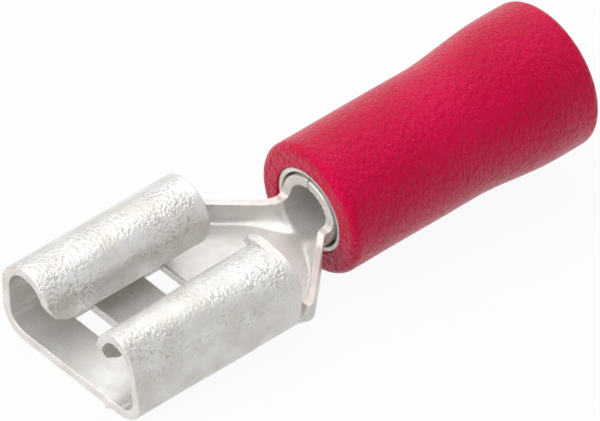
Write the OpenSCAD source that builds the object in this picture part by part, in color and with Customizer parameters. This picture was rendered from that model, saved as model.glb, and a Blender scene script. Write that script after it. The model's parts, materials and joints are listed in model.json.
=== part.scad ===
// Female spade terminal, pre-insulated, for a 6.3 x 0.8 mm tab and a thin stranded wire.
// +X runs from the mouth to the wire end and +Z is up. The origin is the middle of the
// mouth, half way between the floor and the free edges that grip the tab.

/* [Tab] */
// Width of the flat tab that the receptacle takes
tab_w = 6.3; // [5.9:0.1:6.7]
// Side play of the tab in the receptacle, on each side
tab_play = 0.07; // [0.02:0.01:0.15]

/* [Receptacle] */
// Thickness of the sheet that the terminal is folded from
sheet_t = 0.38; // [0.3:0.02:0.45]
// Length of the receptacle along the tab
receptacle_l = 7.1; // [6.4:0.1:8.0]
// Height of the receptacle over its rolled wings
receptacle_h = 3.25; // [3.1:0.05:3.6]
// Outside radius of the fold between floor and side wall
fold_r = 1.1; // [0.7:0.05:1.3]
// Outside radius of the rolled wings
roll_r = 1.27; // [1.1:0.01:1.32]
// Gap between the floor and the free edges of the wings, which grips the tab
grip_gap = 1.05; // [0.85:0.05:1.15]
// Length of the lead-in cut at the front of each free edge
lead_l = 0.84; // [0.5:0.02:1.2]
// Height of that lead-in cut
lead_h = 0.9; // [0.5:0.05:1.2]
// Size of the corner cut at the back of each free edge
back_cut = 0.32; // [0.1:0.02:0.5]

/* [Windows in the floor] */
// Distance from the mouth to the first window
window_x = 1.78; // [1.3:0.02:2.1]
// Length of each window along the tab
window_l = 0.87; // [0.5:0.01:1.0]
// Width of the windows across the floor
window_w = 4.4; // [3.4:0.1:4.6]
// Length of the strip of floor left between the windows
strip_l = 2.2; // [1.8:0.05:2.6]

/* [Torn ear] */
// Length of the ear that stands off the back corner of one wing
ear_l = 0.62; // [0.3:0.02:0.8]
// Width of that ear along the wing
ear_w = 0.4; // [0.2:0.02:0.6]
// Angle round the roll at which the ear leaves it
ear_angle = 52; // [40:1:65]

/* [Neck] */
// Length of the neck from the receptacle to the wire barrel
neck_l = 3.4; // [2.8:0.05:4.2]
// Length over which the neck keeps the receptacle's full width
neck_shoulder = 0.45; // [0.1:0.05:0.8]
// Height of the neck's side walls over the underside of the floor
neck_wall_h = 1.17; // [1.0:0.01:1.2]
// Height to which those walls dip beside the receptacle
neck_dip_h = 0.8; // [0.6:0.05:1.0]
// Outside radius of the neck's fold, half way along it
neck_fold_r = 0.62; // [0.5:0.02:0.9]

/* [Wire barrel] */
// Bore of the wire barrel
barrel_d = 1.9; // [1.6:0.05:2.1]
// Length of the closed wire barrel
barrel_l = 5.4; // [4.5:0.1:6.0]
// Radius between the neck's side walls and the face of the barrel
barrel_fillet = 0.26; // [0.1:0.02:0.4]
// Width of the seam where the two edges of the sheet meet
seam_w = 0.05; // [0.03:0.01:0.1]

/* [Support tube] */
// Wall of the copper tube that stiffens the sleeve round the barrel
tube_wall = 0.2; // [0.15:0.01:0.3]
// Gap between the barrel and that tube
tube_gap = 0.1; // [0.05:0.01:0.15]
// Length by which the tube runs past the back of the barrel
tube_overrun = 0.4; // [0.2:0.05:0.8]
// Depth of the tube's front edge inside the face of the sleeve
tube_inset = 0.05; // [0:0.01:0.2]

/* [Insulating sleeve] */
// Length of the sleeve
sleeve_l = 10.95; // [10.0:0.05:12.0]
// Wall of the sleeve round the support tube
sleeve_wall = 0.88; // [0.6:0.01:1.0]
// Outside diameter of the flared wire end
flare_d = 5.58; // [5.3:0.02:6.0]
// Length of the straight part of the flared end
flare_l = 1.4; // [1.0:0.05:1.8]
// Length of the taper between the two diameters
taper_l = 3.6; // [2.8:0.05:3.8]
// Wall of the flared wire end, round the bore that takes the wire's insulation
entry_wall = 0.79; // [0.6:0.01:1.0]
// Length of that bore up to its funnel
entry_l = 2.1; // [1.6:0.05:2.6]
// Radius of the sleeve's outer edge at the front
front_edge_r = 0.3; // [0.1:0.02:0.4]
// Radius of the sleeve's outer edge at the wire end
back_edge_r = 0.3; // [0.1:0.02:0.4]
// Break of the sleeve's inner edge at the wire end
entry_break = 0.15; // [0.05:0.01:0.25]

/* [Hidden] */
$fn = 120;
slack = 0.01;                 // how far a cut runs past the face that it opens

receptacle_w = tab_w + 2 * (tab_play + sheet_t);
roll_y = receptacle_w / 2 - roll_r;
roll_z = receptacle_h - roll_r;
wing_y = roll_y - roll_r;     // face of a wing's free leg, towards the middle
free_z = sheet_t + grip_gap;  // height of the free edges
tab_z = sheet_t + grip_gap / 2;   // height of the tab's middle over the floor's underside

barrel_r = barrel_d / 2 + sheet_t;
axis_z = barrel_r;            // the barrel's underside is level with the floor's
neck_x = receptacle_l;
taper_in_x = neck_x + neck_shoulder;
face_x = neck_x + neck_l;     // face of the barrel, flush with the face of the sleeve
root_x = face_x - barrel_fillet;
barrel_end = face_x + barrel_l;

tube_in = barrel_r + tube_gap;
tube_out = tube_in + tube_wall;
tube_x = face_x + tube_inset;
tube_end = barrel_end + tube_overrun;

sleeve_r = tube_out + sleeve_wall;
sleeve_end = face_x + sleeve_l;
entry_r = flare_d / 2 - entry_wall;
taper_end = sleeve_end - flare_l;
taper_x = taper_end - taper_l;

neck_stations = 20;
neck_points = 18;             // points along half of the neck's section
neck_bend = 0.1;              // share of the neck's taper over which it bends at each end
neck_sink = 0.02;             // depth by which the neck's ends are set into the sheet they join
taper_points = 12;
edge_points = 6;

// A ramp from 0 to 1 that is straight in the middle and bends over the share e at each end.
function ramp(u, e) =
    u <= 0 ? 0 : u >= 1 ? 1 :
    u < e ? u * u / (2 * e * (1 - e)) :
    u > 1 - e ? 1 - (1 - u) * (1 - u) / (2 * e * (1 - e)) :
    (u - e / 2) / (1 - e);

// ---- receptacle -------------------------------------------------------------

// A quarter of a ring of sheet, in the quadrant that qy and qz point to.
module bent_sheet(r, qy, qz) {
    intersection() {
        difference() {
            circle(r);
            circle(r - sheet_t);
        }
        translate([qy < 0 ? -r : 0, qz < 0 ? -r : 0]) square(r);
    }
}

// Half of the folded section: floor, fold, side wall, roll and free leg.
module half_section() {
    square([receptacle_w / 2 - fold_r, sheet_t]);
    translate([receptacle_w / 2 - fold_r, fold_r]) bent_sheet(fold_r, 1, -1);
    translate([receptacle_w / 2 - sheet_t, fold_r]) square([sheet_t, roll_z - fold_r]);
    translate([roll_y, roll_z]) {
        bent_sheet(roll_r, 1, 1);
        bent_sheet(roll_r, -1, 1);
    }
    translate([wing_y, free_z]) square([sheet_t, roll_z - free_z]);
}

// The pieces are drawn up from the underside of the floor, and moved to the origin here.
module from_floor() {
    translate([0, 0, -tab_z]) children();
}

// Extrudes a section drawn in Y and Z along X.
module along_x(l) {
    rotate([90, 0, 90]) linear_extrude(l) children();
}

// Side view, in X and Z, of what is trimmed off a wing's free edge at both ends.
module edge_trim() {
    translate([0, free_z]) {
        polygon([[-slack, -slack], [lead_l, -slack], [lead_l, 0],
                 [0.3 * lead_l, 0.36 * lead_h], [0, lead_h], [-slack, lead_h]]);
        polygon([[receptacle_l + slack, -slack], [receptacle_l - back_cut, -slack],
                 [receptacle_l - back_cut, 0], [receptacle_l, back_cut],
                 [receptacle_l + slack, back_cut]]);
    }
}

module wing_trim() {
    translate([0, wing_y + sheet_t + slack, 0])
        rotate([90, 0, 0]) linear_extrude(sheet_t + 2 * slack) edge_trim();
}

module windows() {
    for (x = [window_x, window_x + window_l + strip_l])
        translate([x, -window_w / 2, -slack])
            cube([window_l, window_w, sheet_t + 2 * slack]);
}

// The back corner of the near wing was not rolled in, and points at the middle.
module ear() {
    translate([receptacle_l - ear_w, -roll_y, roll_z])
        rotate([ear_angle, 0, 0])
            translate([0, 0, roll_r - sheet_t]) cube([ear_w, ear_l, sheet_t]);
}

module receptacle() {
    difference() {
        along_x(receptacle_l) {
            half_section();
            mirror([1, 0]) half_section();
        }
        wing_trim();
        mirror([0, 1, 0]) wing_trim();
        windows();
    }
    ear();
}

// ---- neck -------------------------------------------------------------------

function neck_u(x) = (x - neck_x) / (root_x - neck_x);
function neck_half_w(x) =
    receptacle_w / 2 + (barrel_r - receptacle_w / 2)
                     * ramp((x - taper_in_x) / (root_x - taper_in_x), neck_bend);
function neck_r(x) =
    neck_fold_r + (fold_r - neck_fold_r) * (1 - ramp(neck_u(x) / 0.3, 0.4))
                + (barrel_r - neck_fold_r) * ramp((neck_u(x) - 0.6) / 0.4, 0.4);
function neck_h(x) =
    neck_dip_h + (neck_wall_h - neck_dip_h) * ramp(neck_u(x) / 0.12, 0.4)
               + (axis_z - neck_wall_h) * ramp((neck_u(x) - 0.8) / 0.2, 0.4);

// A point of the channel's outline, d inside its outer face and a share k of the
// way from the middle of the floor to the top of the side wall.
function channel_point(w, r, h, d, k) =
    let (bend = r - d,
         turn = h >= r ? 90 : acos((r - h) / bend),
         flat = w - r,
         arc = bend * turn * PI / 180,
         s = k * (flat + arc + max(0, h - r)))
    s <= flat ? [s, d] :
    s <= flat + arc ?
        let (a = (s - flat) / bend * 180 / PI) [flat + bend * sin(a), r - bend * cos(a)] :
    [w - d, r + s - flat - arc];

// One closed ring of the channel at x, drawn sink inside the faces of the sheet:
// out along the underside and back along the top.
function channel_ring(x, sink) =
    let (w = neck_half_w(x), r = neck_r(x), h = neck_h(x) - sink, n = neck_points)
    concat(
        [for (i = [-n:n])
            let (p = channel_point(w, r, h, sink, abs(i) / n)) [x, sign(i) * p[0], p[1]]],
        [for (i = [-n:n])
            let (p = channel_point(w, r, h, sheet_t - sink, abs(i) / n))
            [x, -sign(i) * p[0], p[1]]]);

// A loft through rings that all have the same number of points.
module loft(rings) {
    n = len(rings[0]);
    last = len(rings) - 1;
    half = n / 2;
    polyhedron(
        points = [for (ring = rings) each ring],
        faces = concat(
            [for (i = [0:last - 1], j = [0:n - 1], side = [0, 1])
                let (a = i * n + j, b = i * n + (j + 1) % n)
                side == 0 ? [a, b + n, b] : [a, a + n, b + n]],
            [for (j = [0:half - 2], side = [0, 1])
                side == 0 ? [j, j + 1, n - 1 - j] : [j + 1, n - 2 - j, n - 1 - j]],
            [for (j = [0:half - 2], side = [0, 1], b = last * n)
                side == 0 ? [b + j, b + n - 1 - j, b + j + 1]
                          : [b + j + 1, b + n - 1 - j, b + n - 2 - j]]));
}

// The floor narrows between low side walls and its folds open out into the round
// underside of the wire barrel.
module neck() {
    step = (root_x - neck_x) / neck_stations;
    loft([
        channel_ring(neck_x - neck_sink, neck_sink),
        for (i = [1:neck_stations - 1]) channel_ring(neck_x + i * step, 0),
        channel_ring(root_x + neck_sink, neck_sink)
    ]);
}

// ---- wire barrel ------------------------------------------------------------

// Lays a shape that is drawn round Z on the barrel's axis, from x on.
module on_axis(x) {
    translate([x, 0, axis_z]) rotate([0, 90, 0]) children();
}

module barrel() {
    difference() {
        on_axis(root_x) cylinder(r = barrel_r, h = barrel_end - root_x);
        on_axis(root_x - slack) cylinder(r = barrel_d / 2, h = barrel_end - root_x + 2 * slack);
        // opens the front above the side walls and leaves a fillet up to the face
        translate([root_x - slack, -barrel_r, axis_z + barrel_fillet])
            cube([barrel_fillet + slack, 2 * barrel_r, barrel_r]);
        translate([root_x, barrel_r, axis_z + barrel_fillet])
            rotate([90, 0, 0]) cylinder(r = barrel_fillet, h = 2 * barrel_r);
        translate([root_x, -seam_w / 2, axis_z]) cube([barrel_end, seam_w, 2 * barrel_r]);
    }
}

module terminal() {
    color("silver") from_floor() {
        receptacle();
        neck();
        barrel();
    }
}

// ---- tube and sleeve --------------------------------------------------------

module support_tube() {
    color("gainsboro") from_floor() on_axis(tube_x)
        difference() {
            cylinder(r = tube_out, h = tube_end - tube_x);
            translate([0, 0, -slack]) cylinder(r = tube_in, h = tube_end - tube_x + 2 * slack);
        }
}

// A rounded edge of the sleeve's outline, turning from the angle a to a + 90.
function round_edge(r, x, edge, a) =
    [for (i = [0:edge_points])
        let (turn = a + 90 * i / edge_points) [r + edge * sin(turn), x - edge * cos(turn)]];

// Outline of the sleeve as radius and distance from its face.
function sleeve_outline() =
    let (front = sleeve_r - front_edge_r, back = flare_d / 2 - back_edge_r,
         bore_end = tube_end - face_x, tail = sleeve_l)
    concat(
        [[tube_out, 0]],
        round_edge(front, front_edge_r, front_edge_r, 0),
        [for (i = [0:taper_points])
            let (u = i / taper_points)
            [sleeve_r + (flare_d / 2 - sleeve_r) * ramp(u, 0.5), taper_x - face_x + u * taper_l]],
        round_edge(back, tail - back_edge_r, back_edge_r, 90),
        [[entry_r + entry_break, tail],
         [entry_r, tail - entry_break],
         [entry_r, tail - entry_l],
         [tube_out, bore_end]]);

module insulating_sleeve() {
    color("crimson") from_floor() on_axis(face_x)
        rotate_extrude() polygon(sleeve_outline());
}

terminal();
support_tube();
insulating_sleeve();
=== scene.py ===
import bpy
import json
import math
import numpy as np
from mathutils import Matrix, Vector


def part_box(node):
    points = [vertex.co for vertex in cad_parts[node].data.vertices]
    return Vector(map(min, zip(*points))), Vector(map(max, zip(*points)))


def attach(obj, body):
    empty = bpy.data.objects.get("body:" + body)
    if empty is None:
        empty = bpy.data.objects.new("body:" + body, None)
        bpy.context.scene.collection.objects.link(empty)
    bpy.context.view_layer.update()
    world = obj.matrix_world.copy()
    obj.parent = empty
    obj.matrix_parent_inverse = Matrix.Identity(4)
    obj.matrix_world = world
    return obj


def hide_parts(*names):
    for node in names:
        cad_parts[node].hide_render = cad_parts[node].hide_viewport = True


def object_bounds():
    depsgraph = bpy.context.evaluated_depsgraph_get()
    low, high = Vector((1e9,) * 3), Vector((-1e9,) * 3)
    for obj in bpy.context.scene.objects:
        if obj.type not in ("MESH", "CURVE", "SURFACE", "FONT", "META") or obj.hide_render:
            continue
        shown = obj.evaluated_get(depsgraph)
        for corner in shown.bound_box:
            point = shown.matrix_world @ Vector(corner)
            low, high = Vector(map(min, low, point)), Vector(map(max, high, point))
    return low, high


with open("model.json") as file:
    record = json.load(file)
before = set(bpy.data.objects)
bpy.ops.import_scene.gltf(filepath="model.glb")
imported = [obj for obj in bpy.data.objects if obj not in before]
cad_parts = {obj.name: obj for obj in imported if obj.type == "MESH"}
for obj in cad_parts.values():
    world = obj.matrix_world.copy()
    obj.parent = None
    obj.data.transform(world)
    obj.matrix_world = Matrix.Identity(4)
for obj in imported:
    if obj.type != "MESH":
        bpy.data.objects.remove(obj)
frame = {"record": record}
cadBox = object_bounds()
mm = 0.001      # the shapes below are worked out in millimetres

mounts = {m["name"]: m for m in frame["record"]["mounts"]}
termLo, termHi = (np.array(p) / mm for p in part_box("terminal"))
tubeLo, tubeHi = (np.array(p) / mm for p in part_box("support_tube"))
sleeveLo, sleeveHi = (np.array(p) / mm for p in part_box("insulating_sleeve"))
axisZ = mounts["wire_barrel"]["pos_m"][2] / mm      # height of the wire's axis
barrelBore = mounts["wire_barrel"]["dims"]["r_mm"]
entryBore = mounts["insulation_entry"]["dims"]["r_mm"]
print("frame loaded")


# 0 to 1 with a soft start and a soft end
def ease(t):
    t = np.clip(t, 0, 1)
    return t * t * (3 - 2 * t)


# 0 to 1, straight in the middle and bent over the share e at each end
def ramp(u, e):
    u = np.clip(u, 0, 1)
    return np.where(u < e, u * u / (2 * e * (1 - e)),
           np.where(u > 1 - e, 1 - (1 - u) ** 2 / (2 * e * (1 - e)), (u - e / 2) / (1 - e)))


# Smooth random field on a grid, about -1 to 1: white noise whose waves shorter than
# a given number of cells are damped away. It repeats at the grid's borders.
def softField(shape, waveI, waveJ, seed):
    spectrum = np.fft.rfft2(np.random.default_rng(seed).standard_normal(shape))
    fi = np.fft.fftfreq(shape[0])[:, None] * waveI
    fj = np.fft.rfftfreq(shape[1])[None, :] * waveJ
    field = np.fft.irfft2(spectrum * np.exp(-2 * (fi ** 2 + fj ** 2)), s=shape)
    return field / (2 * field.std())


# Joins the same grid of points on the two faces of a sheet into one closed skin.
# Only the cells that are marked exist, and each border of the marked area gets a wall.
def sheetSkin(outer, inner, cells):
    ni, nj = outer.shape[:2]
    index = np.arange(ni * nj).reshape(ni, nj)
    back = ni * nj
    i, j = np.nonzero(cells)
    a, b, c, d = index[i, j], index[i + 1, j], index[i + 1, j + 1], index[i, j + 1]
    faces = [np.stack([a, b, c, d], 1), np.stack([a, d, c, b], 1) + back]
    around = np.pad(cells, 1)
    borders = [(around[i, j + 1], a, d), (around[i + 2, j + 1], c, b),
               (around[i + 1, j], b, a), (around[i + 1, j + 2], d, c)]
    for neighbour, p, q in borders:
        p, q = p[~neighbour], q[~neighbour]
        faces.append(np.stack([p, q, q + back, p + back], 1))
    walls = sum(len(f) for f in faces[2:])
    faces = np.concatenate(faces)
    points = np.concatenate([outer.reshape(-1, 3), inner.reshape(-1, 3)])
    used, faces = np.unique(faces, return_inverse=True)
    faces = faces.reshape(-1, 4)
    isWall = np.arange(len(faces)) >= len(faces) - walls
    return points[used], faces, isWall


# Turns a closed outline of radii and stations once round the wire's axis, each as an
# array of outline points by turns, so that both may change round the axis.
def turnedSkin(radii, stations, turns):
    angle = np.linspace(0, 2 * np.pi, turns, endpoint=False)[None, :]
    points = np.stack([stations + 0 * angle, radii * np.sin(angle), axisZ + radii * np.cos(angle)], -1)
    index = np.arange(points.shape[0] * turns).reshape(-1, turns)
    nextUp, nextRound = np.roll(index, -1, 0), np.roll(index, -1, 1)
    both = np.roll(nextUp, -1, 1)
    faces = np.stack([index, nextRound, both, nextUp], -1).reshape(-1, 4)
    return points.reshape(-1, 3), faces


# Six times the volume inside a skin, with its sign
def signedVolume(points, faces):
    p = points[faces]
    first = np.einsum("ij,ij->i", p[:, 0], np.cross(p[:, 1], p[:, 2]))
    return (first + np.einsum("ij,ij->i", p[:, 0], np.cross(p[:, 2], p[:, 3]))).sum()


# Spaces points evenly along a closed outline
def evenOutline(outline, step):
    closed = np.vstack([outline, outline[:1]])
    run = np.concatenate([[0], np.cumsum(np.hypot(*np.diff(closed, axis=0).T))])
    at = np.linspace(0, run[-1], int(run[-1] / step), endpoint=False)
    return np.stack([np.interp(at, run, closed[:, k]) for k in (0, 1)], 1)


# Makes a mesh of skins in millimetres, rounds its edges where asked, and brings it to metres
def makePiece(name, skins, replaced, materials, edgeRound=0):
    points, faces, slots, start = [], [], [], 0
    for p, f, s in skins:
        if signedVolume(p, f) < 0:
            f = f[:, ::-1]
        points.append(p)
        faces.append(f + start)
        slots.append(s)
        start += len(p)
    mesh = bpy.data.meshes.new(name)
    mesh.from_pydata(np.concatenate(points).tolist(), [], np.concatenate(faces).tolist())
    mesh.polygons.foreach_set("material_index", np.concatenate(slots).astype(np.int32))
    for m in materials:
        mesh.materials.append(m)
    mesh.shade_smooth()
    piece = bpy.data.objects.new(name, mesh)
    bpy.context.scene.collection.objects.link(piece)
    if edgeRound:
        bevel = piece.modifiers.new("roundedEdges", "BEVEL")
        bevel.width = edgeRound
        bevel.segments = 3
        bevel.limit_method = "ANGLE"
        bevel.angle_limit = math.radians(50)
        bevel.use_clamp_overlap = False
        bevel.harden_normals = True
        graph = bpy.context.evaluated_depsgraph_get()
        shaped = bpy.data.meshes.new_from_object(piece.evaluated_get(graph))
        piece.modifiers.clear()
        piece.data = shaped
        bpy.data.meshes.remove(mesh)
        shaped.name = name
    piece.data.transform(Matrix.Scale(mm, 4))
    piece.data.update()
    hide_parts(replaced)
    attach(piece, "root")
    print(name, len(piece.data.polygons), "faces")


# An empty principled material and its object coordinates
def newMaterial(name):
    material = bpy.data.materials.new(name)
    material.use_nodes = True
    nodes = material.node_tree.nodes
    nodes.clear()
    shader = nodes.new("ShaderNodeBsdfPrincipled")
    out = nodes.new("ShaderNodeOutputMaterial")
    material.node_tree.links.new(shader.outputs[0], out.inputs[0])
    where = nodes.new("ShaderNodeTexCoord")
    return material, shader, where


# Adds a node; an input given as a socket is linked, and any other is set on the node
def addNode(material, kind, inputs=None, **settings):
    node = material.node_tree.nodes.new(kind)
    for key, value in settings.items():
        setattr(node, key, value)
    for key, value in (inputs or {}).items():
        if isinstance(value, bpy.types.NodeSocket):
            material.node_tree.links.new(value, node.inputs[key])
        else:
            node.inputs[key].default_value = value
    return node


# Noise on Object coordinates; grain is the number of waves per millimetre along X, Y and Z
def grainNoise(material, where, grain, detail=3, rough=0.5, offset=(0, 0, 0)):
    mapping = addNode(material, "ShaderNodeMapping",
                      {"Vector": where.outputs["Object"], "Scale": [g / mm for g in grain],
                       "Location": offset})
    return addNode(material, "ShaderNodeTexNoise",
                   {"Vector": mapping.outputs[0], "Scale": 1.0, "Detail": detail, "Roughness": rough})


def rangeOf(material, value, low, high, fromLow=0.3, fromHigh=0.7):
    return addNode(material, "ShaderNodeMapRange",
                   {"Value": value, "From Min": fromLow, "From Max": fromHigh, "To Min": low, "To Max": high})


def product(material, first, second):
    return addNode(material, "ShaderNodeMath", {0: first.outputs[0], 1: second.outputs[0]},
                   operation="MULTIPLY")


def mixColours(material, factor, first, second):
    mix = addNode(material, "ShaderNodeMix", data_type="RGBA")
    material.node_tree.links.new(factor, mix.inputs["Factor"])
    mix.inputs[6].default_value = (*first, 1)
    mix.inputs[7].default_value = (*second, 1)
    return mix


def addBump(material, height, depth, under=None):
    bump = addNode(material, "ShaderNodeBump", {"Height": height, "Distance": depth * mm, "Strength": 1.0})
    if under:
        material.node_tree.links.new(under.outputs[0], bump.inputs["Normal"])
    return bump


tinLook = {
    # a dark colour and a strength among these paint shade into the hollows of the pits
    "light": (0.775, 0.77, 0.76), "dark": (0.68, 0.655, 0.615), "pit": (0.42, 0.39, 0.34),
    "metal": 0.4, "roughLow": 0.22, "roughHigh": 0.38,
    "pitGrain": 8.5, "pitDepth": 0.055, "fineGrain": 16, "fineDepth": 0.003,
    "cloudGrain": 1.1, "patchGrain": (0.45, 0.9, 0.9), "patchLeast": 0.25, "stain": 0.6,
    "pitFromZ": 0.2, "pitToZ": 1.3, "pitEndX": 7.0, "pitFade": 0.3,
}


# Satin tin with a soft cloud in its colour. The rolls alone are pitted like orange peel,
# in patches: the depth fades out towards the floor and behind the mouth. The hollows of the pits carry
# painted shade, a darker colour that fades out with the depth.
def makeTin(name, look, tint=(1, 1, 1)):
    material, shader, where = newMaterial(name)
    link = material.node_tree.links.new
    cloud = grainNoise(material, where, (look["cloudGrain"],) * 3, 4)
    patch = grainNoise(material, where, look["patchGrain"], 2, 0.5, (3, 1, 2))
    pits = grainNoise(material, where, (look["pitGrain"],) * 3, 1)
    fine = grainNoise(material, where, (look["fineGrain"],) * 3, 2, 0.5)
    blotch = rangeOf(material, cloud.outputs[0], 0, 1, 0.35, 0.65)
    light = [a * b for a, b in zip(look["light"], tint)]
    dark = [a * b for a, b in zip(look["dark"], tint)]
    colour = mixColours(material, blotch.outputs[0], light, dark)
    rough = rangeOf(material, cloud.outputs[0], look["roughLow"], look["roughHigh"])
    link(rough.outputs[0], shader.inputs["Roughness"])

    place = addNode(material, "ShaderNodeSeparateXYZ", {0: where.outputs["Object"]})
    onRoll = rangeOf(material, place.outputs[2], 0, 1, look["pitFromZ"] * mm, look["pitToZ"] * mm)
    pitEnd = look["pitEndX"]
    inMouth = rangeOf(material, place.outputs[0], 1, 0, (pitEnd - look["pitFade"]) * mm, pitEnd * mm)
    patchy = rangeOf(material, patch.outputs[0], look["patchLeast"], 1, 0.4, 0.6)
    mask = product(material, product(material, onRoll, inMouth), patchy)
    # painted shade: the colour darkens in the hollows of the pits, most where they are deepest, and only
    # where the pits are
    hollow = rangeOf(material, pits.outputs[0], look["stain"], 0, 0.3, 0.48)
    stain = product(material, hollow, mask)
    shadedInPits = mixColours(material, stain.outputs[0], light, look["pit"])
    link(colour.outputs[2], shadedInPits.inputs[6])
    link(shadedInPits.outputs[2], shader.inputs["Base Color"])
    pitBump = addBump(material, pits.outputs[0], look["pitDepth"])
    link(mask.outputs[0], pitBump.inputs["Strength"])
    fineBump = addBump(material, fine.outputs[0], look["fineDepth"], pitBump)
    link(fineBump.outputs[0], shader.inputs["Normal"])
    shader.inputs["Metallic"].default_value = look["metal"]
    return material


tinPlate = makeTin("tinPlate", tinLook)
cutEdge = makeTin("cutEdge", tinLook, (1.04, 1.0, 0.985))
tubeTin = makeTin("tubeTin", tinLook, (1.1, 1.08, 1.08))

vinylLook = {
    "colour": (0.67, 0.0015, 0.052), "deep": (0.54, 0.001, 0.032),
    "cloudGrain": 0.35, "ior": 1.5, "specular": 0.5, "shine": (1.0, 0.08, 0.4),
    "roughLow": 0.2, "roughHigh": 0.34,
    "wrinkleGrain": (8, 4.2, 4.2), "wrinkleDepth": 0.14,
    "fineGrain": (13, 7, 7), "fineDepth": 0.018,
}


# Soft red vinyl: a slow cloud in its colour, wrinkles that run round the sleeve, and a fine grain
def makeVinyl(name, look):
    material, shader, where = newMaterial(name)
    link = material.node_tree.links.new
    cloud = grainNoise(material, where, (look["cloudGrain"],) * 3, 3)
    wrinkle = grainNoise(material, where, look["wrinkleGrain"], 3, 0.55)
    fine = grainNoise(material, where, look["fineGrain"], 3, 0.6)
    blotch = rangeOf(material, cloud.outputs[0], 0, 1)
    colour = mixColours(material, blotch.outputs[0], look["colour"], look["deep"])
    link(colour.outputs[2], shader.inputs["Base Color"])
    rough = rangeOf(material, fine.outputs[0], look["roughLow"], look["roughHigh"])
    link(rough.outputs[0], shader.inputs["Roughness"])
    wrinkleBump = addBump(material, wrinkle.outputs[0], look["wrinkleDepth"])
    fineBump = addBump(material, fine.outputs[0], look["fineDepth"], wrinkleBump)
    link(fineBump.outputs[0], shader.inputs["Normal"])
    shader.inputs["IOR"].default_value = look["ior"]
    shader.inputs["Specular IOR Level"].default_value = look["specular"]
    shader.inputs["Specular Tint"].default_value = (*look["shine"], 1)
    return material


redVinyl = makeVinyl("redVinyl", vinylLook)
print("finishes made")


# one sheet of tinned brass: floor, rolled wings, tapering neck and closed wire barrel
terminalForm = {
    "sheet": 0.38, "foldR": 1.1, "rollR": 1.27, "freeZ": 1.43,
    "mouthEnd": 7.1, "leadL": 0.84, "leadH": 0.9, "backCut": 0.32,
    "windowX": 1.78, "windowL": 0.87, "stripL": 2.2, "windowW": 4.4,
    "wallH": 1.17, "dipH": 0.8, "neckFoldR": 0.62, "shoulder": 0.45, "fillet": 0.26, "seam": 0.05,
    # shares of the neck over which its fold tightens, its wall rises, and both turn into the barrel
    "tightenOver": 0.3, "riseOver": 0.12, "barrelFoldFrom": 0.6, "barrelWallFrom": 0.8,
    "taperBend": 0.1, "neckBend": 0.4,
    # the lead-in's knee, and the turn up to which the roll's cells stay even
    "kneeL": 0.3, "kneeH": 0.36, "heldTurn": 1.7,
    "cell": 0.1, "edgeRound": 0.05,
    # the near roll: share by which it is pinched, and lift, at the mouth and at the back
    "pinchFront": 0.2, "pinchBack": -0.1, "liftFront": 0.16, "liftBack": -0.02, "nearMiddle": -2.42,
    "pinchFromZ": 0.5, "pinchOverZ": 1.9, "liftFromZ": 1.0, "liftOverZ": 2.2,
    # the slight waviness of the rolls, and the burr on the mouth's lower edge
    "wave": 0.012, "waveCells": (26, 22), "waveSeed": 4, "waveFront": 0.5, "waveBack": 1.0,
    "burrY": -1.9, "burrOut": 0.13, "burrHalf": 0.13, "burrDepth": 0.12, "burrTop": 0.4, "burrInside": 0.4,
}


# Section of the sheet at distance s along its middle from the middle of the floor:
# a flat, then a bend of the middle radius through an angle, then a straight wall.
# Gives across, up and the outward direction in the section.
def channelSection(flat, radius, turn, s, half):
    bend = np.clip((s - flat) / radius, 0, turn)
    rest = np.clip(s - flat - radius * turn, 0, None)
    across = np.minimum(s, flat) + radius * np.sin(bend) + rest * np.cos(turn)
    up = half + radius * (1 - np.cos(bend)) + rest * np.sin(turn)
    return across, up, np.sin(bend), -np.cos(bend)


# The rolled wing carries on from the fold: wall, half circle, and a free leg downwards.
def wingSection(form, width, s, half):
    fold, roll = form["foldR"] - half, form["rollR"] - half
    rollZ = termHi[2] - termLo[2] - form["rollR"]
    flat = width - form["foldR"]
    wallStart = flat + fold * np.pi / 2
    rollStart = wallStart + rollZ - form["foldR"]
    legStart = rollStart + roll * np.pi
    bend = np.clip((s - flat) / fold, 0, np.pi / 2)
    wall = np.clip(s - wallStart, 0, rollZ - form["foldR"])
    turn = np.clip((s - rollStart) / roll, 0, np.pi)
    leg = np.clip(s - legStart, 0, None)
    across = flat + fold * np.sin(bend) - roll * (1 - np.cos(turn))
    up = half + fold * (1 - np.cos(bend)) + wall + roll * np.sin(turn) - leg
    direction = bend + turn
    return across, up, np.sin(direction), -np.cos(direction)


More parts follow.
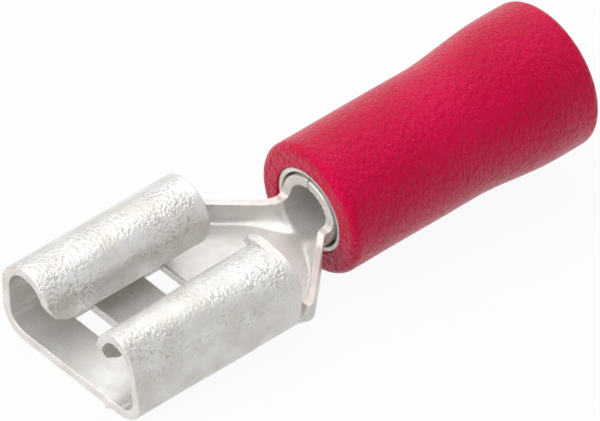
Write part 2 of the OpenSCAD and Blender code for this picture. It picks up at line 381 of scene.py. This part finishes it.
# The blank is a grid of stations along X by shares of the distance round the section.
# The base bends through the station's own radius and turn, the wings roll on from it, and
# behind the neck the same columns close up as the barrel. Both faces lie half a sheet
# off the middle, and the cells of the windows and of what was trimmed away are left out.
def buildTerminal(form):
    half = form["sheet"] / 2
    width = termHi[1]
    barrelR = barrelBore + form["sheet"]
    neckX, faceX, endX = form["mouthEnd"], sleeveLo[0], termHi[0]
    rootX = faceX - form["fillet"]
    window1 = form["windowX"]
    window2 = window1 + form["windowL"] + form["stripL"]

    # stations along X, with one on every edge that is cut
    stops = [0, window1, window1 + form["windowL"], window2, window2 + form["windowL"],
             neckX, rootX, faceX, endX]
    x = np.concatenate([np.linspace(a, b, max(2, round((b - a) / form["cell"])), endpoint=False)
                        for a, b in zip(stops[:-1], stops[1:])] + [[endX]])

    # the base runs from the middle of the floor to the top of the neck's side walls
    u = (x - neckX) / (rootX - neckX)
    taper = (x - neckX - form["shoulder"]) / (rootX - neckX - form["shoulder"])
    outerW = width + (barrelR - width) * ramp(taper, form["taperBend"])
    bend, foldFrom, wallFrom = form["neckBend"], form["barrelFoldFrom"], form["barrelWallFrom"]
    outerR = (form["neckFoldR"]
              + (form["foldR"] - form["neckFoldR"]) * (1 - ramp(u / form["tightenOver"], bend))
              + (barrelR - form["neckFoldR"]) * ramp((u - foldFrom) / (1 - foldFrom), bend))
    height = (form["dipH"] + (form["wallH"] - form["dipH"]) * ramp(u / form["riseOver"], bend)
              + (barrelR - form["wallH"]) * ramp((u - wallFrom) / (1 - wallFrom), bend))
    radius = outerR - half
    turn = np.where(height >= outerR, np.pi / 2, np.arccos(np.clip(1 - (height - half) / radius, -1, 1)))
    wall = np.maximum(0, height - outerR)
    flat = outerW - outerR
    # from the root on, the bend closes up the barrel, first along the fillet
    fillet = form["fillet"]
    lift = fillet - np.sqrt(np.maximum(0, fillet ** 2 - np.clip(x - rootX, 0, fillet) ** 2))
    barrelMid = barrelR - half
    inBarrel = x >= rootX
    turn = np.where(inBarrel, np.pi / 2 + np.arcsin(lift / barrelMid), turn)
    wall = np.where(inBarrel, 0, wall)
    flat = np.where(inBarrel, 0, flat)
    radius = np.where(inBarrel, barrelMid, radius)
    length = flat + radius * turn + wall

    mouthLength = length[0]
    edge = form["windowW"] / 2 / mouthLength
    nEdge = round(form["windowW"] / 2 / form["cell"])
    nRest = round((mouthLength - form["windowW"] / 2) / form["cell"])
    share = np.concatenate([np.linspace(0, edge, nEdge, endpoint=False), np.linspace(edge, 1, nRest + 1)])
    nBase = len(share) - 1
    sBase = share[None, :] * length[:, None]
    base = channelSection(flat[:, None], radius[:, None], turn[:, None], sBase, half)

    # the wings: even cells up to the crest, then squeezed or stretched to the free edge
    rollMid = form["rollR"] - half
    rollZ = termHi[2] - termLo[2] - form["rollR"]
    rollStart = width - form["foldR"] + (form["foldR"] - half) * np.pi / 2 + rollZ - form["foldR"]
    legStart = rollStart + rollMid * np.pi
    held = rollStart + rollMid * form["heldTurn"]
    front = np.interp(x, [0, form["kneeL"] * form["leadL"], form["leadL"]],
                      [form["leadH"], form["kneeH"] * form["leadH"], 0])
    rear = np.clip(x - (neckX - form["backCut"]), 0, form["backCut"])
    freeZ = form["freeZ"] + front + rear
    tip = np.where(freeZ <= rollZ, legStart + rollZ - freeZ,
                   legStart - rollMid * np.arcsin(np.clip((freeZ - rollZ) / rollMid, 0, 1)))
    nHeld = round((held - mouthLength) / form["cell"])
    nTip = round((tip.max() - held) / form["cell"])
    sWing = np.concatenate([np.tile(np.linspace(mouthLength, held, nHeld, endpoint=False), (len(x), 1)),
                            held + (tip[:, None] - held) * np.linspace(0, 1, nTip + 1)[None, :]], 1)[:, 1:]
    wing = wingSection(form, width, sWing, half)
    nWing = nHeld + nTip

    # the barrel's top, from the fillet to the seam
    filletTurn = np.pi / 2 + np.arcsin(form["fillet"] / barrelMid)
    nTop = round(barrelMid * (np.pi - filletTurn) / form["cell"])
    seamTurn = np.pi - form["seam"] / 2 / barrelMid
    topTurn = np.interp(np.arange(1, nWing + 1), [0, nTop], [filletTurn, seamTurn])
    top = (barrelMid * np.sin(topTurn), half + barrelMid * (1 - np.cos(topTurn)),
           np.sin(topTurn), -np.cos(topTurn))

    inMouth = (x <= neckX)[:, None]
    parts = []
    for b, w, t in zip(base, wing, top):
        parts.append(np.concatenate([b, np.where(inMouth, w, np.broadcast_to(t, w.shape))], 1))
    across, up, sideN, upN = parts

    # both halves, from the near free edge over the floor to the far one
    flip = slice(None, 0, -1)
    y = np.concatenate([-across[:, flip], across], 1)
    z = np.concatenate([up[:, flip], up], 1)
    ny = np.concatenate([-sideN[:, flip], sideN], 1)
    nz = np.concatenate([upN[:, flip], upN], 1)
    xx = np.repeat(x[:, None], y.shape[1], 1)

    outer = np.stack([xx, y + ny * half, z + nz * half], -1)
    inner = np.stack([xx, y - ny * half, z - nz * half], -1)
    outer, inner = (shapeNearRoll(form, p) for p in (outer, inner))
    field = softField(y.shape, *form["waveCells"], form["waveSeed"])
    wave = form["wave"] * field[..., None] * np.stack([0 * y, ny, nz], -1)
    wave = wave * (ease((neckX - xx) / form["waveBack"]) * ease(xx / form["waveFront"]))[..., None]
    outer, inner = outer + wave, inner + wave
    # a small burr stands out from the mouth's lower edge
    burr = np.exp(-((y - form["burrY"]) / form["burrHalf"]) ** 2) * np.exp(-xx / form["burrDepth"])
    burr = burr * (z < form["burrTop"])
    outer[..., 0] -= form["burrOut"] * burr
    inner[..., 0] -= form["burrInside"] * form["burrOut"] * burr
    outer[..., 2] += termLo[2]
    inner[..., 2] += termLo[2]

    # cells that exist: the whole base but its two windows, the wings and the barrel's top
    nCells = y.shape[1] - 1
    column = np.abs(np.arange(nCells) + 0.5 - nCells / 2)
    xMid = ((x[1:] + x[:-1]) / 2)[:, None]
    cells = (column < nBase) | ((column < nBase + nWing) & (xMid < neckX))
    cells |= (column < nBase + nTop) & (xMid > faceX)
    for start in (window1, window2):
        cells &= ~((column < nEdge) & (xMid > start) & (xMid < start + form["windowL"]))
    points, faces, isWall = sheetSkin(outer, inner, cells)
    return points, faces, isWall.astype(int)


# The near roll was pressed unevenly: narrow and tall at the mouth, wide at the back.
# Points above the fold move towards or away from the roll's middle line, and up.
def shapeNearRoll(form, p):
    near = p[..., 1] < 0
    along = ease(p[..., 0] / form["mouthEnd"])
    inMouth = p[..., 0] <= form["mouthEnd"] + 1e-6
    pinch = form["pinchFront"] + (form["pinchBack"] - form["pinchFront"]) * along
    lift = form["liftFront"] + (form["liftBack"] - form["liftFront"]) * along
    rise = ease((p[..., 2] - form["pinchFromZ"]) / form["pinchOverZ"])
    q = p.copy()
    towards = (p[..., 1] - form["nearMiddle"]) * pinch * rise
    q[..., 1] = np.where(near & inMouth, p[..., 1] - towards, p[..., 1])
    upwards = lift * ease((p[..., 2] - form["liftFromZ"]) / form["liftOverZ"])
    q[..., 2] = np.where(near & inMouth, p[..., 2] + upwards, p[..., 2])
    return q


# the back corner of the near wing, torn and left standing off its roll
earForm = {
    "width": 0.38, "length": 1.68, "root": 0.06, "angle": 17, "curl": -100, "step": 0.06,
    "columns": 8, "backGap": 0.02, "thinner": 0.9, "slimFrom": 0.6, "slimOver": 0.5, "slimShare": 0.45,
}


# The ear leaves the roll along its tangent and hooks down towards the middle: its section
# is the running sum of steps whose direction changes with the square of the distance.
def buildEar(ear, form):
    half = form["sheet"] / 2
    rollMid = form["rollR"] - half
    start = math.radians(ear["angle"])
    s = np.arange(-ear["root"], ear["length"], ear["step"])
    x = np.linspace(form["mouthEnd"] - ear["width"], form["mouthEnd"] - ear["backGap"], ear["columns"])
    turn = start + math.radians(ear["curl"]) * (np.clip(s, 0, None) / ear["length"]) ** 2
    y = form["rollR"] - termHi[1] - rollMid * math.sin(start) + np.cumsum(np.cos(turn)) * ear["step"]
    rollZ = termHi[2] - termLo[2] - form["rollR"]
    z = rollZ + rollMid * math.cos(start) + np.cumsum(np.sin(turn)) * ear["step"]
    y, z = y - ear["root"] * math.cos(start), z - ear["root"] * math.sin(start)
    # the tip narrows from its front side
    slim = ease((s / ear["length"] - ear["slimFrom"]) / ear["slimOver"])
    xTip = x[:, None] + (x[-1] - x[:, None]) * ear["slimShare"] * slim
    middle = np.stack(np.broadcast_arrays(xTip, y, z), -1)
    out = np.stack(np.broadcast_arrays(0 * x[:, None], -np.sin(turn), np.cos(turn)), -1)
    out = out * half * ear["thinner"]
    outer, inner = (shapeNearRoll(form, p) + [0, 0, termLo[2]] for p in (middle + out, middle - out))
    points, faces, isWall = sheetSkin(outer, inner, np.ones((len(x) - 1, len(s) - 1), bool))
    return points, faces, isWall.astype(int)


makePiece("terminalSheet", [buildTerminal(terminalForm), buildEar(earForm, terminalForm)],
          "terminal", [tinPlate, cutEdge], terminalForm["edgeRound"])


tubeForm = {
    "wall": 0.2, "rim": 0.04, "step": 0.05, "turns": 160,
    "unevenX": 0.02, "unevenDepth": 0.6, "unevenCells": 20, "seed": 7,
}


# A closed outline of a ring with rounded rims: out over the front, back along the
# outside, in over the back and forward along the bore.
def ringOutline(inside, outside, front, back, rim):
    a = np.linspace(0, np.pi / 2, 6)
    s, c = np.sin(a), np.cos(a)
    return np.concatenate([
        np.stack([outside - rim + rim * s, front + rim - rim * c], 1),
        np.stack([outside - rim + rim * c, back - rim + rim * s], 1),
        np.stack([inside + rim - rim * s, back - rim + rim * c], 1),
        np.stack([inside + rim - rim * c, front + rim - rim * s], 1)])


# The ring's outline turned once round the axis, with its front edge moved forwards and
# back a little by a soft random field that dies out towards the inside of the sleeve.
def buildTube(form):
    outside = tubeHi[2] - axisZ
    ring = ringOutline(outside - form["wall"], outside, tubeLo[0], tubeHi[0], form["rim"])
    outline = evenOutline(ring, form["step"])
    uneven = form["unevenX"] * (1 + softField((1, form["turns"]), 1, form["unevenCells"], form["seed"]))
    nearFront = ease((tubeLo[0] + form["unevenDepth"] - outline[:, 1:]) / form["unevenDepth"])
    return turnedSkin(outline[:, :1] + 0 * uneven, outline[:, 1:] + uneven * nearFront, form["turns"])


points, faces = buildTube(tubeForm)
makePiece("supportTube", [(points, faces, np.zeros(len(faces)))], "support_tube", [tubeTin])


sleeveForm = {
    "bodyR": 2.51, "frontEdge": 0.3, "backEdge": 0.3, "taperX": 5.95, "taperL": 3.6,
    "entryBreak": 0.15, "entryL": 2.1, "step": 0.09, "turns": 190,
    "lump": 0.012, "lumpCells": (30, 26), "lumpBelow": 0.5, "lumpOver": 0.8, "seed": 11,
}


# Outline of the sleeve as radius and distance from its face: face, rounded edge, body,
# taper, flared end, rounded edge, wire entry, funnel and bore.
def buildSleeve(form):
    length = sleeveHi[0] - sleeveLo[0]
    flareR = (sleeveHi[2] - sleeveLo[2]) / 2
    bore = tubeHi[2] - axisZ
    body, front, back = form["bodyR"], form["frontEdge"], form["backEdge"]
    a = np.linspace(0, np.pi / 2, 9)
    t = np.linspace(0, 1, 25)
    outline = np.concatenate([
        [[bore, 0]],
        np.stack([body - front + front * np.sin(a), front - front * np.cos(a)], 1),
        np.stack([body + (flareR - body) * ease(t), form["taperX"] + form["taperL"] * t], 1),
        np.stack([flareR - back + back * np.cos(a), length - back + back * np.sin(a)], 1),
        [[entryBore + form["entryBreak"], length], [entryBore, length - form["entryBreak"]],
         [entryBore, length - form["entryL"]], [bore, tubeHi[0] - sleeveLo[0]]]])
    outline = evenOutline(outline, form["step"])
    lump = form["lump"] * softField((len(outline), form["turns"]), *form["lumpCells"], form["seed"])
    outside = outline[:, :1] > body - form["lumpBelow"]
    lump = lump * outside * ease((outline[:, :1] - bore) / form["lumpOver"])
    radii = np.minimum(outline[:, :1] - np.abs(lump), flareR)
    return turnedSkin(radii, sleeveLo[0] + outline[:, 1:] + 0 * lump, form["turns"])


points, faces = buildSleeve(sleeveForm)
makePiece("vinylSleeve", [(points, faces, np.zeros(len(faces)))],
          "insulating_sleeve", [redVinyl])
print("pieces made")


# The terminal lies nose down on the lower edges of its mouth and of the sleeve's face.
# Its floor ends a little ahead of the mouth, so that a low view from there is clear.
restForm = {"size": 600, "ahead": 25, "gap": 0.01}


# A flat plane, tilted about the mouth's lower edge until it touches the rounded lower
# edge of the sleeve's face: the slope of the line between them and the angle its radius adds.
def buildFloor(form):
    edge = sleeveForm["frontEdge"]
    contact = np.array([sleeveLo[0] + edge, axisZ - sleeveForm["bodyR"] + edge])
    run, drop = contact[0] - termLo[0], termLo[2] - contact[1]
    tilt = math.atan2(drop, run) + math.asin(edge / math.hypot(run, drop))
    s = form["size"] / 2
    corners = [(-form["ahead"], -s, 0), (s, -s, 0), (s, s, 0), (-form["ahead"], s, 0)]
    mesh = bpy.data.meshes.new("floor")
    mesh.from_pydata(corners, [], [(0, 1, 2, 3)])
    mesh.transform(Matrix.Scale(mm, 4) @ Matrix.Translation((termLo[0], 0, termLo[2] - form["gap"]))
                   @ Matrix.Rotation(tilt, 4, "Y"))
    floor = bpy.data.objects.new("floor", mesh)
    bpy.context.scene.collection.objects.link(floor)
    return floor


# 1 for rays from the camera, off gloss or through glass, and 0 for the light that falls on things
def seenBy(owner, path):
    first = addNode(owner, "ShaderNodeMath",
                    {0: path.outputs["Is Camera Ray"], 1: path.outputs["Is Glossy Ray"]}, operation="MAXIMUM")
    return addNode(owner, "ShaderNodeMath",
                   {0: first.outputs[0], 1: path.outputs["Is Transmission Ray"]}, operation="MAXIMUM")


# how light the floor is, how white it and the surround look, and the light from all round
studio = {"floor": (0.72, 0.70, 0.68), "floorWhite": 0.94, "surround": (0.8, 0.8, 0.8), "ambient": 0.36}

floorMaterial = bpy.data.materials.new("paleFloor")
floorMaterial.use_nodes = True
floorMaterial.node_tree.nodes.clear()
diffuse = addNode(floorMaterial, "ShaderNodeBsdfDiffuse", {"Color": (*studio["floor"], 1)})
glow = addNode(floorMaterial, "ShaderNodeEmission", {"Color": (1, 1, 1, 1), "Strength": 1.0})
path = addNode(floorMaterial, "ShaderNodeLightPath")
seen = seenBy(floorMaterial, path)
part = addNode(floorMaterial, "ShaderNodeMath", {0: seen.outputs[0], 1: studio["floorWhite"]},
               operation="MULTIPLY")
mix = addNode(floorMaterial, "ShaderNodeMixShader",
              {0: part.outputs[0], 1: diffuse.outputs[0], 2: glow.outputs[0]})
addNode(floorMaterial, "ShaderNodeOutputMaterial", {0: mix.outputs[0]})
floor = buildFloor(restForm)
floor.data.materials.append(floorMaterial)

world = bpy.data.worlds.new("studio")
bpy.context.scene.world = world
world.use_nodes = True
world.node_tree.nodes.clear()
path = addNode(world, "ShaderNodeLightPath")
seen = seenBy(world, path)
strength = addNode(world, "ShaderNodeMapRange",
                   {"Value": seen.outputs[0], "To Min": studio["ambient"], "To Max": 1.0})
background = addNode(world, "ShaderNodeBackground",
                     {"Color": (*studio["surround"], 1), "Strength": strength.outputs[0]})
addNode(world, "ShaderNodeOutputWorld", {0: background.outputs[0]})

# each lamp: azimuth and elevation it shines from, distance, size and brightness
lamps = {
    "backSoftbox": (150, 58, 300, 380, 0.9),
    "leftSoftbox": (-95, 32, 300, 320, 1.95),
    "topSoftbox": (0, 86, 300, 300, 1.2),
}


# The way from the object to a lamp or camera
def direction(azimuth, elevation):
    a, e = math.radians(azimuth), math.radians(elevation)
    return Vector((math.sin(a) * math.cos(e), -math.cos(a) * math.cos(e), math.sin(e)))


middle = (Vector(cadBox[0]) + Vector(cadBox[1])) / 2
for name, (azimuth, elevation, distance, size, radiance) in lamps.items():
    light = bpy.data.lights.new(name, "AREA")
    light.shape = "SQUARE"
    light.size = size * mm
    light.energy = radiance * math.pi * (size * mm) ** 2
    lamp = bpy.data.objects.new(name, light)
    away = direction(azimuth, elevation)
    lamp.location = middle + away * distance * mm
    lamp.rotation_mode = "QUATERNION"
    lamp.rotation_quaternion = away.to_track_quat("Z", "Y")
    bpy.context.scene.collection.objects.link(lamp)

# the camera stands off the left front, well above, with a long lens
shot = {"azimuth": -39.777, "elevation": 41.238, "roll": -1.435, "distance": 324.3,
        "focal": 573.0, "aim": (9.73, 0, 0.555), "right": 0.319, "up": 0.244}
back = direction(shot["azimuth"], shot["elevation"])
azimuth, roll = math.radians(shot["azimuth"]), math.radians(shot["roll"])
level = Vector((math.cos(azimuth), math.sin(azimuth), 0))
rise = back.cross(level)
right = level * math.cos(roll) + rise * math.sin(roll)
up = rise * math.cos(roll) - level * math.sin(roll)
spot = Vector(shot["aim"]) * mm
place = spot + back * shot["distance"] * mm
target = spot + right * shot["right"] * mm + up * shot["up"] * mm
back = (place - target).normalized()
right = up.cross(back).normalized()
up = back.cross(right)
cameraData = bpy.data.cameras.new("camera")
cameraData.lens = shot["focal"]
cameraData.sensor_width = 36
cameraData.clip_start = 0.01
camera = bpy.data.objects.new("camera", cameraData)
camera.matrix_world = Matrix.Translation(place) @ Matrix((right, up, back)).transposed().to_4x4()
bpy.context.scene.collection.objects.link(camera)
bpy.context.scene.camera = camera
bpy.context.scene.view_settings.view_transform = "Standard"
print("floor, light and camera set")
